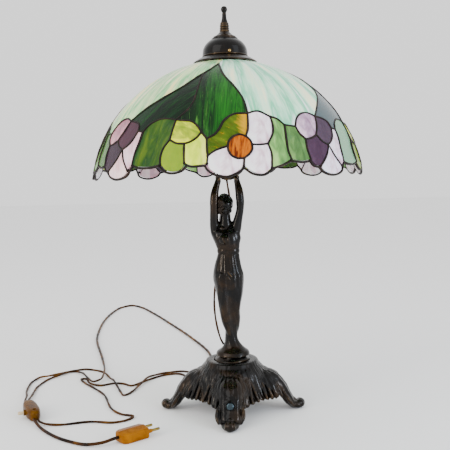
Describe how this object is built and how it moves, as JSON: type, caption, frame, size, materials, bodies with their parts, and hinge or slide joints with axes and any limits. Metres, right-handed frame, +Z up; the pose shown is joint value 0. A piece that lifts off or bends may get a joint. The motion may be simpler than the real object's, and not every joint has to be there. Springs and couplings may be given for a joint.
{
  "type": "stained glass table lamp",
  "caption": "Table lamp with a leaded opalescent glass dome of leaves and flowers, held up by a cast bronze lady on a four-footed base, with an inline switch and plug.",
  "frame": {"origin": "on the lamp's axis, on the table surface under the four feet", "axes": "+Z up along the stem, front of the figure towards -Y, +X to the right of a viewer in front"},
  "size_m": [0.5624, 1.0534, 0.6069],
  "materials": {
    "bronze": "dark bronze patina, golden on the high spots",
    "brass": "aged",
    "lead": "dark patinated solder",
    "button_metal": "bright",
    "switch_black": "matt",
    "holder_black": "gloss",
    "bulb": "opal",
    "spring_steel": "bright",
    "flex": "brown-gold translucent sheath",
    "switch_amber": "gloss",
    "ivory": "gloss",
    "plug_amber": "gloss, slightly translucent",
    "pin_metal": "nickel-plated",
    "glass_pale": "opalescent, streaked",
    "glass_dark_green": "streaked",
    "glass_bright_green": "streaked",
    "glass_leaf_green": "streaked",
    "glass_lime": "opalescent",
    "glass_lime_pale": "opalescent",
    "glass_gold_green": "streaked with orange",
    "glass_white": "opalescent",
    "glass_orange": "streaked",
    "glass_light_green": "opalescent",
    "glass_lilac": "opalescent",
    "glass_purple": "opalescent"
  },
  "bodies": {
    "root": {"base_casting": "bronze", "tie_rod": "brass", "base_washer": "brass", "base_nut": "brass", "figure_body": "bronze", "figure_head": "bronze", "left_arm": "bronze", "right_arm": "bronze", "stand_cup": "bronze", "cup_nut": "brass", "riser_tube": "brass", "cluster_hub": "brass", "lampholder_caps": "holder_black", "lampholder_shells": "holder_black", "bulb_caps": "brass", "bulb_glass": "bulb", "seat_nut": "brass", "push_bezel": "bronze", "button_spring": "spring_steel", "push_switch": "switch_black", "cord_clamp": "bronze", "clamp_screws": "brass", "cup_cable": "flex", "lead_upper": "flex", "lead_base_a": "flex", "lead_base_b": "flex", "lead_plug": "flex", "switch_lower": "switch_amber", "switch_upper": "switch_amber", "switch_screw": "switch_black", "plug_body": "plug_amber", "plug_pins": "pin_metal", "plug_sleeves": "plug_amber"},
    "shade": {"glass_pale": "glass_pale", "glass_dark_leaf": "glass_dark_green", "glass_bright_leaf": "glass_bright_green", "glass_left_leaf": "glass_leaf_green", "glass_lime_top": "glass_lime_pale", "glass_lime_left": "glass_lime", "glass_lime_right": "glass_lime_pale", "glass_gold_leaf": "glass_gold_green", "glass_white_top": "glass_white", "glass_white_right": "glass_white", "glass_white_left": "glass_white", "glass_orange": "glass_orange", "glass_light_leaf": "glass_light_green", "glass_right_leaf": "glass_leaf_green", "glass_lilac": "glass_lilac", "glass_purple": "glass_purple", "glass_pearl_side": "glass_white", "glass_pearl_low": "glass_white", "glass_plum": "glass_purple", "lead_lattice": "lead", "collar_ring": "bronze", "cap_dome": "bronze", "cap_screws": "brass"},
    "finial": {"finial": "bronze"},
    "push": {"push_button": "button_metal"},
    "bar": {"switch_bar": "ivory"}
  },
  "joints": [
    {"name": "shade_turn", "type": "hinge", "parent": "root", "child": "shade", "pos_m": [0, 0, 0.55], "axis": [0, 0, 1], "continuous": true},
    {"name": "finial_turn", "type": "hinge", "parent": "root", "child": "finial", "pos_m": [0, 0, 0.58], "axis": [0, 0, 1], "continuous": true},
    {"name": "button_press", "type": "slide", "parent": "root", "child": "push", "axis": [0, 0.9659, -0.2588], "range_m": [0, 0.0025], "stiffness_N_per_m": 200},
    {"name": "bar_slide", "type": "slide", "parent": "root", "child": "bar", "axis": [0.8746, 0.4848, 0], "range_m": [0, 0.006]}
  ]
}
